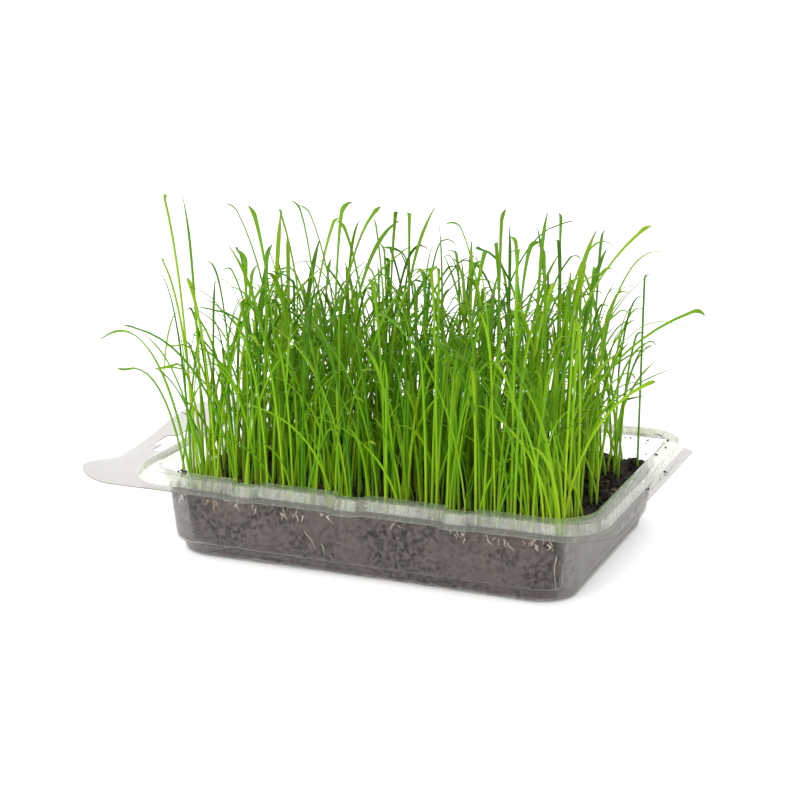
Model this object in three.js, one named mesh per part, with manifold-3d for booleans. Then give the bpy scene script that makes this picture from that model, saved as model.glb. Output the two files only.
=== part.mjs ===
// Wheatgrass growing in a clear formed plastic tray with a hanging flange.
// Millimetres, +Z up, +X along the tray away from the hanging flange, +Y to the back.
// The origin is the middle of the tray's base, on the surface that it stands on.
import * as THREE from "three";
import { mergeVertices } from "three/addons/utils/BufferGeometryUtils.js";
import Module from "manifold-3d";

// The tray, measured over its raised bead. Insets are taken inwards from the bead's outer edge.
const tray = {
  halfLength: 90,
  halfWidth: 66.5,
  height: 34.5,
  sheet: 0.6,
  beadRadius: 17,
  wallRadius: 14,
  baseRadius: 11,
  lugCentres: [-41, 0, 41],
  lugFlat: 7,
  lugRamp: 3,
  lugDepth: 2.2,
  lugNotch: 1.6,
  endDraw: 3,
};

// The flat flange round the bead. It widens into a hanging flange at the left end.
const flange = {
  right: 94.7,
  left: 114,
  halfWidth: 71.2,
  radius: 20,
  drop: 4.7,
  wave: 2.8,
  wavePitch: 100,
  waveStart: 3,
  waveFrom: 92,
  foot: 0.9,
  chamferX: 83.8,
  chamferY: 54,
};

// The hanging slot: a long narrow slot with a round-shouldered window on its outer side.
const slot = {
  x: -100,
  y: -9,
  length: 32,
  width: 5,
  windowLength: 12,
  windowWidth: 9.4,
  shoulder: 3,
  cutDepth: 12,
};

// The soil's top is uneven and sinks by dip in the back right corner, from dipStart over dipSpan.
const soilBody = {
  gap: 0.35,
  top: 24.6,
  swell: 0.9,
  ripple: 0.5,
  dip: 4.5,
  dipStart: [30, 10],
  dipSpan: [50, 40],
};

// The shoots grow in clumps set out like a honeycomb, each with a block of seeds and roots that
// stands in a pocket of the soil.
const tufts = {
  columns: 8,
  rows: 6,
  reachX: 67.5,
  reachY: 48,
  radius: 9.6,
  sides: 6,
  depth: 5.5,
  rise: 0.2,
  gap: 0.3,
  headroom: 12,
};

// Each blade is a stem below and a flat keeled leaf above, with a ring at each share of its
// length and a pointed tip. Its root is sunk in its clump.
const blade = {
  rings: [0, 0.45, 0.7, 0.9],
  widths: [1.15, 1.3, 1.85, 1.6],
  keels: [1.0, 0.9, 0.75, 0.65],
  sunk: 3.5,
};

// How the shoots grow: how many a clump has, how far from its middle they root, and how tall
// and how spread they are. They stand taller in two swells along the tray, and lean back in at
// its ends. Few grow where the soil has sunk.
const growth = {
  perTuft: [8, 7],
  perSparseTuft: 4,
  sparseFrom: [58, -12],
  tries: 90,
  rootReach: 7.1,
  low: 42,
  range: 38,
  tallShare: 0.72,
  tallExtra: 20,
  spread: 8,
  spreadRange: 28,
  outward: 0.08,
  endLeft: -90,
  endRight: 92,
  swell: 0.1,
  swellPitch: 75,
  swellAt: -35,
  archShare: 0.34,
  archMost: 0.34,
  twistMost: 0.8,
  tallTwist: 1,
};

// A blade's line bends from upright towards its tip: how far out and up its two bends are.
const bends = { outLow: 0.08, upLow: 0.42, outHigh: 0.36, upHigh: 0.82 };

// Spacing of the blades: a grid cell, how many cells round each point of a blade are kept free,
// and the space over the rim that a blade may not lean into.
const room = {
  cell: 1.1,
  aside: 2,
  above: 1,
  origin: 250,
  span: 500,
  perSpan: 20,
  rimX: 79.5,
  rimY: 59,
  rimZ: 36,
};

// Leaves that stand out above and beside the rest, by root and tip. Arch lifts the leaf above
// its tip.
const tallLeaves = [
  { root: [-73, -44], tip: [-97, -20, 131], arch: 0.0 },
  { root: [-69, -44], tip: [-84, -28, 131], arch: 0.0 },
  { root: [-69, -49], tip: [-88, -39, 109], arch: 0.08 },
  { root: [-68, -55], tip: [-82, -50, 106], arch: 0.08 },
  { root: [-72, -48], tip: [-114, -40, 76], arch: 0.55 },
  { root: [-71, -53], tip: [-103, -45, 65], arch: 0.5 },
  { root: [-41, -30], tip: [-66, -22, 128], arch: 0.0 },
  { root: [-57, -16], tip: [-52, -10, 124], arch: 0.0 },
  { root: [-24, -12], tip: [-42, -8, 126], arch: 0.0 },
  { root: [-34, -4], tip: [-31, 0, 126], arch: 0.03 },
  { root: [-31, -18], tip: [-14, -6, 127], arch: 0.08 },
  { root: [-13, 4], tip: [-22, 10, 119], arch: 0.03 },
  { root: [-24, -24], tip: [-4, -10, 124], arch: 0.1 },
  { root: [12, -4], tip: [8, 0, 122], arch: 0.0 },
  { root: [36, -12], tip: [17, -4, 124], arch: 0.0 },
  { root: [34, -2], tip: [31, 4, 126], arch: 0.1 },
  { root: [39, -14], tip: [44, 0, 117], arch: 0.1 },
  { root: [56, 0], tip: [58, 4, 107], arch: 0.0 },
  { root: [57, 6], tip: [62, 10, 109], arch: 0.03 },
  { root: [62, -4], tip: [71, 4, 116], arch: 0.05 },
  { root: [52, -14], tip: [88, 0, 127], arch: 0.0 },
  { root: [71, 2], tip: [74, 10, 100], arch: 0.0 },
  { root: [60, -22], tip: [112, -10, 101], arch: 0.03 },
  { root: [72, -42], tip: [98, -30, 77], arch: 0.04 },
  { root: [78, 1], tip: [89, 8, 83], arch: 0.2 },
  { root: [73, 24], tip: [77, 30, 81], arch: 0.0 },
  { root: [56, -30], tip: [58, -20, 101], arch: 0.12 },
];

const plastic = new THREE.MeshStandardMaterial({
  color: 0xe9ecea,
  roughness: 0.08,
  metalness: 0,
  transparent: true,
  opacity: 0.35,
});
const compost = new THREE.MeshStandardMaterial({ color: 0x2b2320, roughness: 0.95, metalness: 0 });
const leafGreen = new THREE.MeshStandardMaterial({ color: 0x6aa321, roughness: 0.5, metalness: 0 });

const wasm = await Module();
wasm.setup();

// One repeatable stream of numbers from 0 to 1 places every blade.
let draw = 20427;
function random() {
  draw = (draw * 1664525 + 1013904223) % 4294967296;
  return draw / 4294967296;
}

function solidFrom(geometry) {
  const bare = geometry.index ? geometry.toNonIndexed() : geometry.clone();
  bare.deleteAttribute("normal");
  bare.deleteAttribute("uv");
  const merged = mergeVertices(bare, 1e-4);
  return new wasm.Manifold(
    new wasm.Mesh({
      numProp: 3,
      vertProperties: new Float32Array(merged.attributes.position.array),
      triVerts: new Uint32Array(merged.index.array),
    }),
  );
}

function geometryFrom(solid) {
  const mesh = solid.getMesh();
  const geometry = new THREE.BufferGeometry();
  geometry.setAttribute("position", new THREE.BufferAttribute(mesh.vertProperties, 3));
  geometry.setIndex(new THREE.BufferAttribute(mesh.triVerts, 1));
  geometry.computeVertexNormals();
  return geometry;
}

// A closed skin over a stack of rings that all have the same number of points. Each end is
// closed by a fan, at the top to end where it is given, and otherwise to the ring's middle.
function skinOver(rings, end) {
  const count = rings[0].length;
  const middleOf = (ring) =>
    ring.reduce((sum, p) => sum.add(p), new THREE.Vector3()).divideScalar(count);
  const points = [...rings.flat(), middleOf(rings[0]), end ?? middleOf(rings.at(-1))];
  const first = points.length - 2;
  const last = points.length - 1;
  const top = (rings.length - 1) * count;
  const faces = [];
  for (let i = 0; i < count; i++) {
    const j = (i + 1) % count;
    for (let k = 0; k < rings.length - 1; k++) {
      const a = k * count;
      faces.push(a + i, a + j, a + count + j, a + i, a + count + j, a + count + i);
    }
    faces.push(first, j, i, last, top + i, top + j);
  }
  const geometry = new THREE.BufferGeometry();
  const flat = points.flatMap((p) => p.toArray());
  geometry.setAttribute("position", new THREE.Float32BufferAttribute(flat, 3));
  geometry.setIndex(faces);
  return geometry;
}

// Points that a ring has along its straight sides. The tray's long sides step out at each lug,
// and its left side follows the flange's wave. The soil's are only there for its uneven top.
const traySides = {
  long: tray.lugCentres.flatMap((centre) => {
    const half = tray.lugFlat / 2;
    return [
      [centre - half - tray.lugRamp, 0],
      [centre - half, 1],
      [centre + half, 1],
      [centre + half + tray.lugRamp, 0],
    ];
  }),
  left: [40, 26, 12, -2, -16, -30],
  right: [],
};
const soilSides = {
  long: [-50, -25, 0, 25, 50].map((x) => [x, 0]),
  left: [25, 0, -25],
  right: [-25, 0, 25],
};

// A rounded rectangle as a ring of points, anticlockwise seen from above. The lugs are pushed
// out by lug, and z is a height or a function of the place. A chamfer cuts the back right corner.
function roundedRing({ left, right, halfWidth, radius, z, lug = 0, chamfer, sides = traySides }) {
  const cornerSteps = 4;
  const ring = [];
  const height = typeof z === "function" ? z : () => z;
  const add = (x, y) => ring.push(new THREE.Vector3(x, y, height(x, y)));
  const corner = (cx, cy, from) => {
    for (let i = 0; i <= cornerSteps; i++) {
      const angle = from + (i / cornerSteps) * (Math.PI / 2);
      add(cx + radius * Math.cos(angle), cy + radius * Math.sin(angle));
    }
  };
  const cutCorner = () => {
    for (let i = 0; i <= cornerSteps; i++) {
      const share = i / cornerSteps;
      add(right + (chamfer.x - right) * share, chamfer.y + (halfWidth - chamfer.y) * share);
    }
  };
  corner(-left + radius, -halfWidth + radius, Math.PI);
  sides.long.forEach(([x, out]) => add(x, -halfWidth - out * lug));
  corner(right - radius, -halfWidth + radius, -Math.PI / 2);
  sides.right.forEach((y) => add(right, y));
  if (chamfer) cutCorner();
  else corner(right - radius, halfWidth - radius, 0);
  sides.long.toReversed().forEach(([x, out]) => add(x, halfWidth + out * lug));
  corner(-left + radius, halfWidth - radius, Math.PI / 2);
  sides.left.forEach((y) => add(-left, y));
  return ring;
}

function insetRing(inset, z, radius, lug, ends, sides) {
  const halfLength = tray.halfLength - inset - ends * tray.endDraw;
  return roundedRing({
    left: halfLength,
    right: halfLength,
    halfWidth: tray.halfWidth - inset,
    radius,
    z,
    lug,
    sides,
  });
}

// The sheet's upper face from the base out to the foot of the bead: inset, height, corner
// radius, how far the lugs push it out, and the share of endDraw by which its ends lie further
// in than its sides. Each lug notches the bead's inner side.
const notch = tray.lugDepth + tray.lugNotch;
const upperFace = [
  [13.6, 0.6, tray.baseRadius - 2, 0, 0.2],
  [11.6, 2.4, tray.baseRadius, 0, 0.5],
  [11.0, 5.6, tray.baseRadius, 0, 0.5],
  [8.2, 6.1, tray.wallRadius, 0, 1],
  [6.0, 29.6, tray.wallRadius, 0, 1],
  [5.6, 33.7, tray.wallRadius, notch, 0],
  [4.8, tray.height, tray.wallRadius, notch, 0],
  [0.9, tray.height, tray.beadRadius - 1, tray.lugDepth, 0],
  [0.0, 33.7, tray.beadRadius, tray.lugDepth, 0],
  [-flange.foot, 31.0, tray.beadRadius + 1, tray.lugDepth, 0],
];

// The lower face runs beside the upper one, a sheet's thickness away.
function lowerFaceOf(face) {
  return face.map(([inset, z, radius, lug, ends], i) => {
    const before = face[Math.max(i - 1, 0)];
    const after = face[Math.min(i + 1, face.length - 1)];
    const legs = [
      [inset - before[0], z - before[1]],
      [after[0] - inset, after[1] - z],
    ].filter(([a, b]) => Math.hypot(a, b) > 0);
    if (i === 0) legs.unshift([-1, 0]);
    if (i === face.length - 1) legs.push([-1, -0.3]);
    const sides = legs.map(([a, b]) => [-b / Math.hypot(a, b), a / Math.hypot(a, b)]);
    const sum = [sides[0][0] + sides.at(-1)[0], sides[0][1] + sides.at(-1)[1]];
    const scale = (2 * tray.sheet) / (sum[0] ** 2 + sum[1] ** 2);
    return [inset + sum[0] * scale, z + sum[1] * scale, radius, lug, ends];
  });
}

// The hanging flange is thin and has sprung into a gentle wave along its outer edge.
function flangeHeight(x, y) {
  const span = flange.left - flange.waveFrom;
  const out = THREE.MathUtils.clamp((-flange.waveFrom - x) / span, 0, 1);
  const wave = Math.sin((2 * Math.PI * (y - flange.waveStart)) / flange.wavePitch);
  return tray.height - flange.drop + flange.wave * wave * out * out;
}

function flangeRing(share, below) {
  const foot = tray.halfLength + flange.foot;
  const blend = (from, to) => from + (to - from) * share;
  return roundedRing({
    left: blend(foot, flange.left),
    right: blend(foot, flange.right),
    halfWidth: blend(tray.halfWidth + flange.foot, flange.halfWidth),
    radius: blend(tray.beadRadius + 1, flange.radius),
    lug: tray.lugDepth,
    chamfer: share === 1 ? { x: flange.chamferX, y: flange.chamferY } : undefined,
    z: (x, y) => flangeHeight(x, y) - below,
  });
}

function makeTray() {
  const midShare = 0.5;
  const rings = [
    ...lowerFaceOf(upperFace).map((face) => insetRing(...face)),
    flangeRing(midShare, tray.sheet),
    flangeRing(1, tray.sheet),
    flangeRing(1, 0),
    flangeRing(midShare, 0),
    ...upperFace.toReversed().map((face) => insetRing(...face)),
  ];
  const cut = makeSlotCutter();
  return geometryFrom(solidFrom(skinOver(rings)).subtract(cut));
}

function makeSlotCutter() {
  const half = slot.length / 2;
  const window = slot.windowLength / 2;
  const end = slot.width / 2;
  const shoulder = slot.shoulder;
  const outer = slot.windowWidth - end;
  const shape = new THREE.Shape();
  shape.absarc(0, -half + end, end, -Math.PI, 0, false);
  shape.absarc(0, half - end, end, 0, Math.PI, false);
  shape.lineTo(-end, window);
  shape.lineTo(-outer + shoulder, window);
  shape.absarc(-outer + shoulder, window - shoulder, shoulder, Math.PI / 2, Math.PI, false);
  shape.absarc(-outer + shoulder, -window + shoulder, shoulder, Math.PI, 1.5 * Math.PI, false);
  shape.lineTo(-end, -window);
  const depth = slot.cutDepth;
  const cutter = new THREE.ExtrudeGeometry(shape, { depth, bevelEnabled: false, curveSegments: 4 });
  cutter.translate(slot.x, slot.y, tray.height - flange.drop - depth / 2);
  return solidFrom(cutter);
}

function smooth(v) {
  const t = THREE.MathUtils.clamp(v, 0, 1);
  return t * t * (3 - 2 * t);
}

function soilTop(x, y) {
  const [startX, startY] = soilBody.dipStart;
  const [spanX, spanY] = soilBody.dipSpan;
  const swell = soilBody.swell * Math.sin(0.11 * x + 0.4) * Math.cos(0.13 * y);
  const ripple = soilBody.ripple * Math.sin(0.31 * x - 0.27 * y);
  const dip = soilBody.dip * smooth((x - startX) / spanX) * smooth((y - startY) / spanY);
  return soilBody.top + swell + ripple - dip;
}

// The soil fills the tray to its uneven top, a small gap inside the wall, with a pocket for
// each clump of roots.
function makeSoil(places) {
  const gap = soilBody.gap;
  const [base, foot, step, wallFoot, wallHead] = upperFace;
  const inside = ([inset, z, radius, , ends]) =>
    insetRing(inset + gap, z + gap, radius, 0, ends, soilSides);
  const low = inside(wallFoot);
  const high = inside(wallHead);
  const edge = low.map((p, i) => {
    const share = (soilTop(p.x, p.y) - p.z) / (high[i].z - p.z);
    return p.clone().lerp(high[i], share);
  });
  const drawnIn = (share) =>
    edge.map((p) => {
      const x = p.x * share;
      const y = p.y * share;
      return new THREE.Vector3(x, y, soilTop(x, y));
    });
  const rings = [inside(base), inside(foot), inside(step), low, edge, drawnIn(0.7), drawnIn(0.35)];
  let soil = solidFrom(skinOver(rings));
  for (const place of places) {
    const radius = tufts.radius + tufts.gap;
    soil = soil.subtract(clumpPrism(place, radius, tufts.depth + tufts.gap, tufts.headroom));
  }
  return geometryFrom(soil);
}

// The hexagonal block of seeds and roots that a tuft grows from.
function clumpPrism(place, radius, depth, above) {
  const prism = new THREE.CylinderGeometry(radius, radius, depth + above, tufts.sides);
  prism.rotateX(Math.PI / 2);
  prism.translate(place.x, place.y, place.z + (above - depth) / 2);
  return solidFrom(prism);
}

function tuftPlaces() {
  const places = [];
  const pitchX = (2 * tufts.reachX) / (tufts.columns - 1);
  const pitchY = (2 * tufts.reachY) / (tufts.rows - 1);
  for (let row = 0; row < tufts.rows; row++) {
    const shifted = row % 2;
    for (let column = 0; column < tufts.columns - shifted; column++) {
      const x = -tufts.reachX + (column + shifted / 2) * pitchX;
      const y = -tufts.reachY + row * pitchY;
      places.push({ x, y, z: soilTop(x, y) + tufts.rise, blades: [] });
    }
  }
  return places;
}

// A blade's line is a cubic curve from its root to its tip.
function lineOf(root, tip, arch) {
  const [x, y, z] = root;
  const reach = [tip[0] - x, tip[1] - y];
  const height = tip[2] - z;
  return [
    root,
    [x + bends.outLow * reach[0], y + bends.outLow * reach[1], z + bends.upLow * height],
    [x + bends.outHigh * reach[0], y + bends.outHigh * reach[1], z + (bends.upHigh + arch) * height],
    tip,
  ];
}

function pointOn(line, t) {
  const u = 1 - t;
  const weights = [u * u * u, 3 * u * u * t, 3 * u * t * t, t * t * t];
  return [0, 1, 2].map((axis) =>
    weights.reduce((sum, weight, i) => sum + weight * line[i][axis], 0),
  );
}

// The cells that blades already fill.
const taken = new Set();
const cellOf = (v) => Math.floor((v + room.origin) / room.cell);
const keyOf = (i, j, k) => (i * room.span + j) * room.span + k;

// Points along a blade as it is built, straight between its rings.
function samplesOf(line) {
  const corners = [...blade.rings, 1].map((t) => pointOn(line, t));
  const samples = [];
  for (let i = 1; i < corners.length; i++)
    for (let step = 0; step <= room.perSpan; step++) {
      const share = step / room.perSpan;
      samples.push(corners[i].map((v, axis) => corners[i - 1][axis] * (1 - share) + v * share));
    }
  return samples;
}

function isClear(samples) {
  return samples.every(([x, y, z]) => {
    if (z < room.rimZ && (Math.abs(x) > room.rimX || Math.abs(y) > room.rimY)) return false;
    return !taken.has(keyOf(cellOf(x), cellOf(y), cellOf(z)));
  });
}

function take(samples) {
  for (const [x, y, z] of samples)
    for (let i = -room.aside; i <= room.aside; i++)
      for (let j = -room.aside; j <= room.aside; j++)
        for (let k = -room.above; k <= room.above; k++)
          taken.add(keyOf(cellOf(x) + i, cellOf(y) + j, cellOf(z) + k));
}

// Adds a blade to its place where its whole line is clear of the blades before it.
function plant(place, line, twist) {
  const samples = samplesOf(line);
  if (!isClear(samples)) return false;
  take(samples);
  place.blades.push({ line, twist });
  return true;
}

// A tall leaf roots in the clump nearest to its own root.
function plantTallLeaf(places, { root, tip, arch }) {
  const away = (place) => Math.hypot(root[0] - place.x, root[1] - place.y);
  const nearest = places.reduce((best, place) => (away(place) < away(best) ? place : best));
  const share = Math.min(1, growth.rootReach / Math.max(away(nearest), 1));
  const x = nearest.x + (root[0] - nearest.x) * share;
  const y = nearest.y + (root[1] - nearest.y) * share;
  plant(nearest, lineOf([x, y, nearest.z], tip, arch), growth.tallTwist);
}

function plantShoot(place) {
  const [x, y] = [place.x, place.y].map((v) => v + (random() * 2 - 1) * growth.rootReach);
  const tall = random();
  const spread = growth.spread + growth.spreadRange * random();
  const lean = (random() * 2 - 1) * spread + growth.outward * x;
  const leansIn = x + lean > growth.endLeft && x + lean < growth.endRight;
  const leanX = leansIn ? lean : -lean / 2;
  const leanY = (random() * 2 - 1) * spread + growth.outward * y;
  const extra = random() * growth.tallExtra;
  const full = growth.low + growth.range * tall + (tall > growth.tallShare ? extra : 0);
  const swell = Math.cos((2 * Math.PI * (x - growth.swellAt)) / growth.swellPitch);
  const height = full * (1 + growth.swell * swell);
  const arches = random() < growth.archShare;
  const arch = random() * growth.archMost;
  const twist = (random() * 2 - 1) * growth.twistMost;
  if (Math.hypot(x - place.x, y - place.y) > growth.rootReach) return false;
  const tip = [x + leanX, y + leanY, place.z + height];
  return plant(place, lineOf([x, y, place.z], tip, arches ? arch : 0), twist);
}

// Plants the tall leaves first, then each clump's shoots, each tried until one is clear.
function plantAll(places) {
  tallLeaves.forEach((leaf) => plantTallLeaf(places, leaf));
  places.forEach((place, index) => {
    const sparse = place.x > growth.sparseFrom[0] && place.y > growth.sparseFrom[1];
    const wanted = sparse ? growth.perSparseTuft : growth.perTuft[index % growth.perTuft.length];
    for (let i = 0; i < wanted; i++)
      for (let attempt = 0; attempt < growth.tries; attempt++) if (plantShoot(place)) break;
  });
}

// A blade has three sides: two edges and a keel, narrow as a stem and wide as a leaf. It lies
// across the way that it leans, and turns by twist from root to tip.
function bladeSolid({ line, twist }) {
  const at = (t) => new THREE.Vector3(...pointOn(line, t));
  const [root, , , tip] = line;
  const aside = new THREE.Vector3(root[1] - tip[1], tip[0] - root[0], 0).normalize();
  const rings = blade.rings.map((t, i) => {
    const along = at(t + 0.01).sub(at(Math.max(t - 0.01, 0))).normalize();
    const side = aside.clone().projectOnPlane(along).normalize().applyAxisAngle(along, twist * t);
    const back = new THREE.Vector3().crossVectors(along, side);
    const middle = at(t);
    if (i === 0) middle.z -= blade.sunk;
    const half = blade.widths[i] / 2;
    const keel = blade.keels[i];
    return [
      middle.clone().addScaledVector(side, -half).addScaledVector(back, -keel / 3),
      middle.clone().addScaledVector(side, half).addScaledVector(back, -keel / 3),
      middle.clone().addScaledVector(back, (2 * keel) / 3),
    ];
  });
  return solidFrom(skinOver(rings, at(1)));
}

function makeTuft(place) {
  const clump = clumpPrism(place, tufts.radius, tufts.depth, 0);
  return geometryFrom(place.blades.reduce((tuft, one) => tuft.add(bladeSolid(one)), clump));
}

function named(name, geometry, material) {
  const mesh = new THREE.Mesh(geometry, material);
  mesh.name = name;
  return mesh;
}

const places = tuftPlaces();
plantAll(places);

const grass = new THREE.Group();
places.forEach((place, i) => {
  const name = `tuft_${String(i + 1).padStart(2, "0")}`;
  grass.add(named(name, makeTuft(place), leafGreen));
});

const part = new THREE.Group();
part.add(named("tray", makeTray(), plastic));
part.add(named("soil", makeSoil(places), compost));
part.add(grass);

export default part;
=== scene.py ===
import math

import bmesh
import bpy
import numpy as np
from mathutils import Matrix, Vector


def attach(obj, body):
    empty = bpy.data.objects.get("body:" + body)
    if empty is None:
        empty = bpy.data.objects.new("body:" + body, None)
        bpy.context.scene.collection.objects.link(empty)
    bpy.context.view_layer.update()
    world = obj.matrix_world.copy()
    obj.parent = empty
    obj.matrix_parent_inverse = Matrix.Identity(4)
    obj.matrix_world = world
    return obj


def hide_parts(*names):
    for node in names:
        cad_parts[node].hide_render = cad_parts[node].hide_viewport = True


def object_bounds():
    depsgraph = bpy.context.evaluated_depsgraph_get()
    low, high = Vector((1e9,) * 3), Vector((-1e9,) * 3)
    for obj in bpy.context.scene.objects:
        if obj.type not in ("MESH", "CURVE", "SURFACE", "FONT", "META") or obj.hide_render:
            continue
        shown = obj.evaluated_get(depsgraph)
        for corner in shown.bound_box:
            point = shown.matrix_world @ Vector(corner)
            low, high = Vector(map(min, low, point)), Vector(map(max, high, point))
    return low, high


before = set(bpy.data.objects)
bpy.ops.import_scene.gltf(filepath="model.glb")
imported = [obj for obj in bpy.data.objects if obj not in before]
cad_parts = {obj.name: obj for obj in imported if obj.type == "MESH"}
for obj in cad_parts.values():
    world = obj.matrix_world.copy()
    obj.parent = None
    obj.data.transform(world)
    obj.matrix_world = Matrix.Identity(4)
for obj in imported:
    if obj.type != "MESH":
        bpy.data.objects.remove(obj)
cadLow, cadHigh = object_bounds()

mm = 0.001


# Camera, light and floor

camera = {
    "place": (0.25565, -0.65529, 0.23621),
    "down": 14.53,
    "turn": 21.93,
    "roll": -0.25,
    "lens": 85.87,
    "sensor": 36.0,
}
studio = {
    "worldStrength": 1.06,
    "worldColour": (1.0, 1.0, 1.0, 1.0),
    "floorHalf": 8.0,
    # name, place, size, watts
    "lamps": [
        ("keyLamp", (-0.45, -0.35, 1.5), 1.2, 5.0),
        ("backLamp", (0.3, 0.9, 1.3), 1.4, 3.0),
        ("frontLamp", (-0.35, -1.25, 0.55), 0.9, 8.0),
    ],
    "aim": (0.0, 0.0, 0.05),
}


def placeCamera():
    data = bpy.data.cameras.new("photoCamera")
    data.lens = camera["lens"]
    data.sensor_width = camera["sensor"]
    eye = bpy.data.objects.new("photoCamera", data)
    bpy.context.scene.collection.objects.link(eye)
    eye.location = camera["place"]
    tilt = math.radians(90 - camera["down"])
    eye.rotation_euler = (tilt, math.radians(camera["roll"]), math.radians(camera["turn"]))
    bpy.context.scene.camera = eye


def hangLamps():
    for name, place, size, watts in studio["lamps"]:
        data = bpy.data.lights.new(name, "AREA")
        data.size = size
        data.energy = watts
        lamp = bpy.data.objects.new(name, data)
        bpy.context.scene.collection.objects.link(lamp)
        lamp.location = place
        aim = Vector(studio["aim"]) - Vector(place)
        lamp.rotation_euler = aim.to_track_quat("-Z", "Y").to_euler()


def lightWorld():
    world = bpy.data.worlds.new("paleStudio")
    bpy.context.scene.world = world
    world.use_nodes = True
    sky = world.node_tree.nodes["Background"]
    sky.inputs["Color"].default_value = studio["worldColour"]
    sky.inputs["Strength"].default_value = studio["worldStrength"]


placeCamera()
hangLamps()
lightWorld()
bpy.context.scene.view_settings.view_transform = "Standard"
print("camera and light are up")


# Small helpers for modelling

def deselectAll():
    if bpy.context.object and bpy.context.object.mode != "OBJECT":
        bpy.ops.object.mode_set(mode="OBJECT")
    bpy.ops.object.select_all(action="DESELECT")


def pick(piece):
    deselectAll()
    piece.select_set(True)
    bpy.context.view_layer.objects.active = piece


def openMesh(piece, by="VERT"):
    pick(piece)
    bpy.ops.object.mode_set(mode="EDIT")
    bpy.ops.mesh.select_mode(type=by)


def closeMesh():
    bpy.ops.object.mode_set(mode="OBJECT")


def selectWhole():
    bpy.ops.mesh.select_all(action="SELECT")


def faceOutwards():
    selectWhole()
    bpy.ops.mesh.normals_make_consistent(inside=False)


def applyAll(piece):
    pick(piece)
    for modifier in list(piece.modifiers):
        bpy.ops.object.modifier_apply(modifier=modifier.name)


def dress(piece, *materials):
    piece.data.materials.clear()
    for material in materials:
        piece.data.materials.append(material)


def newCopy(template, name):
    piece = template.copy()
    piece.data = template.data.copy()
    piece.name = name
    bpy.context.scene.collection.objects.link(piece)
    return piece


def drop(piece):
    bpy.data.objects.remove(piece, do_unlink=True)


def ramp(value, low, high):
    share = np.clip((value - low) / (high - low), 0, 1)
    return share * share * (3 - 2 * share)


# Node groups that several finishes share

def startGroup(name, inputs, outputs):
    group = bpy.data.node_groups.new(name, "ShaderNodeTree")
    for label, kind, value in inputs:
        socket = group.interface.new_socket(label, in_out="INPUT", socket_type=kind)
        if value is not None:
            socket.default_value = value
    for label, kind in outputs:
        group.interface.new_socket(label, in_out="OUTPUT", socket_type=kind)
    return group, group.nodes.new("NodeGroupInput"), group.nodes.new("NodeGroupOutput")


def feed(tree, socket, value):
    if isinstance(value, bpy.types.NodeSocket):
        tree.links.new(value, socket)
    else:
        socket.default_value = (*value, 1.0) if socket.type == "RGBA" else value


def addNode(tree, kind, **settings):
    node = tree.nodes.new(kind)
    for key, value in settings.items():
        label = key.replace("_", " ")
        if label in node.inputs:
            feed(tree, node.inputs[label], value)
        else:
            setattr(node, key, value)
    return node


def mixColour(tree, mask, first, second):
    node = addNode(tree, "ShaderNodeMix", data_type="RGBA")
    for socket, value in ((0, mask), (6, first), (7, second)):
        feed(tree, node.inputs[socket], value)
    return node.outputs[2]


def mapRange(tree, value, low, high, toLow=0.0, toHigh=1.0):
    node = addNode(tree, "ShaderNodeMapRange", Value=value, From_Min=low, From_Max=high, To_Min=toLow,
                   To_Max=toHigh)
    return node.outputs["Result"]


def mathOf(tree, operation, first, second=0.0):
    node = addNode(tree, "ShaderNodeMath", operation=operation)
    feed(tree, node.inputs[0], first)
    feed(tree, node.inputs[1], second)
    return node.outputs[0]


def makeCrumble():
    group, given, result = startGroup(
        "crumbledSpeckle",
        [("Vector", "NodeSocketVector", None), ("Scale", "NodeSocketFloat", 300.0)],
        [("Clods", "NodeSocketFloat"), ("Specks", "NodeSocketFloat"), ("Height", "NodeSocketFloat")],
    )
    clods = addNode(group, "ShaderNodeTexNoise", Detail=5.0, Roughness=0.65)
    specks = addNode(group, "ShaderNodeTexVoronoi", Randomness=1.0)
    grit = addNode(group, "ShaderNodeTexNoise", Detail=3.0, Roughness=0.6)
    coarse = mathOf(group, "MULTIPLY", given.outputs["Scale"], 0.55)
    fine = mathOf(group, "MULTIPLY", given.outputs["Scale"], 4.0)
    for node in (clods, specks, grit):
        group.links.new(given.outputs["Vector"], node.inputs["Vector"])
    group.links.new(coarse, clods.inputs["Scale"])
    group.links.new(given.outputs["Scale"], specks.inputs["Scale"])
    group.links.new(fine, grit.inputs["Scale"])
    group.links.new(mapRange(group, clods.outputs[0], 0.42, 0.6), result.inputs["Clods"])
    group.links.new(mapRange(group, specks.outputs["Distance"], 0.25, 0.1), result.inputs["Specks"])
    rough = mathOf(group, "MULTIPLY", grit.outputs[0], 0.35)
    group.links.new(mathOf(group, "ADD", clods.outputs[0], rough), result.inputs["Height"])
    return group


def makeFibres():
    group, given, result = startGroup(
        "lengthwiseFibres",
        [
            ("Across", "NodeSocketFloat", 0.0),
            ("Along", "NodeSocketFloat", 0.0),
            ("Lines", "NodeSocketFloat", 9.0),
        ],
        [("Fibre", "NodeSocketFloat"), ("Patch", "NodeSocketFloat")],
    )
    lines = mathOf(group, "MULTIPLY", given.outputs["Across"], given.outputs["Lines"])
    joined = addNode(group, "ShaderNodeCombineXYZ")
    group.links.new(lines, joined.inputs["X"])
    group.links.new(given.outputs["Along"], joined.inputs["Y"])
    fibre = addNode(group, "ShaderNodeTexNoise", Scale=3.0, Detail=2.0)
    patch = addNode(group, "ShaderNodeTexNoise", Scale=2.2, Detail=1.0)
    group.links.new(joined.outputs[0], fibre.inputs["Vector"])
    group.links.new(joined.outputs[0], patch.inputs["Vector"])
    group.links.new(fibre.outputs[0], result.inputs["Fibre"])
    group.links.new(patch.outputs[0], result.inputs["Patch"])
    return group


crumble = makeCrumble()
fibres = makeFibres()


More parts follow.
